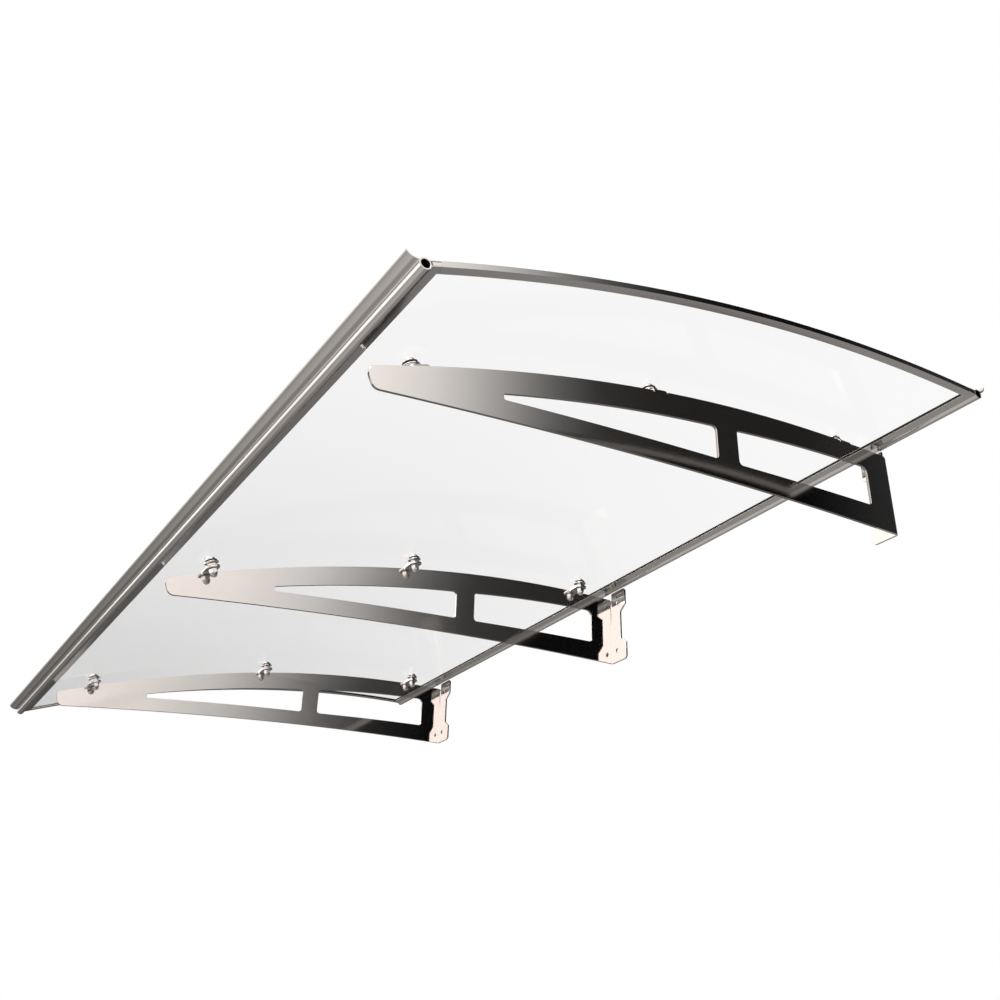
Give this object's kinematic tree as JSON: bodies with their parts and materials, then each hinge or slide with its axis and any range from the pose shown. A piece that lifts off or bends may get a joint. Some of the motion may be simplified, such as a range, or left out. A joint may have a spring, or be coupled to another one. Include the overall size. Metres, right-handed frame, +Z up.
{
  "type": "door canopy",
  "caption": "Door canopy with a clear curved sheet, aluminium edge rails and folded steel wall brackets, clamped with bolts and cap nuts.",
  "frame": {"origin": "on the back of the middle bracket's wall flange, midway between its two screw holes", "axes": "+X along the wall to the canopy's right end as the picture shows it, +Y into the wall, +Z up"},
  "size_m": [1.8, 0.9815, 0.2553],
  "materials": {
    "sheet": "clear gloss acrylic",
    "rail": "satin anodised",
    "side_profile": "satin anodised",
    "bracket": "brushed stainless",
    "fastener": "polished stainless",
    "washer": "matt black rubber"
  },
  "bodies": {
    "root": {"roof_sheet": "sheet", "front_rail": "rail", "wall_rail": "rail", "side_profile_left": "side_profile", "side_profile_right": "side_profile", "bracket_left": "bracket", "bracket_middle": "bracket", "bracket_right": "bracket", "clamp_bolt_left_front": "fastener", "clamp_bolt_left_middle": "fastener", "clamp_bolt_left_rear": "fastener", "clamp_bolt_middle_front": "fastener", "clamp_bolt_middle_middle": "fastener", "clamp_bolt_middle_rear": "fastener", "clamp_bolt_right_front": "fastener", "clamp_bolt_right_middle": "fastener", "clamp_bolt_right_rear": "fastener", "top_seal_washer_left_front": "washer", "top_seal_washer_left_middle": "washer", "top_seal_washer_left_rear": "washer", "top_seal_washer_middle_front": "washer", "top_seal_washer_middle_middle": "washer", "top_seal_washer_middle_rear": "washer", "top_seal_washer_right_front": "washer", "top_seal_washer_right_middle": "washer", "top_seal_washer_right_rear": "washer", "lower_washer_left_front": "fastener", "lower_washer_left_middle": "fastener", "lower_washer_left_rear": "fastener", "lower_washer_middle_front": "fastener", "lower_washer_middle_middle": "fastener", "lower_washer_middle_rear": "fastener", "lower_washer_right_front": "fastener", "lower_washer_right_middle": "fastener", "lower_washer_right_rear": "fastener", "spacer_nut_left_front": "fastener", "spacer_nut_left_middle": "fastener", "spacer_nut_left_rear": "fastener", "spacer_nut_middle_front": "fastener", "spacer_nut_middle_middle": "fastener", "spacer_nut_middle_rear": "fastener", "spacer_nut_right_front": "fastener", "spacer_nut_right_middle": "fastener", "spacer_nut_right_rear": "fastener", "cap_nut_left_front": "fastener", "cap_nut_left_middle": "fastener", "cap_nut_left_rear": "fastener", "cap_nut_middle_front": "fastener", "cap_nut_middle_middle": "fastener", "cap_nut_middle_rear": "fastener", "cap_nut_right_front": "fastener", "cap_nut_right_middle": "fastener", "cap_nut_right_rear": "fastener"}
  },
  "joints": []
}
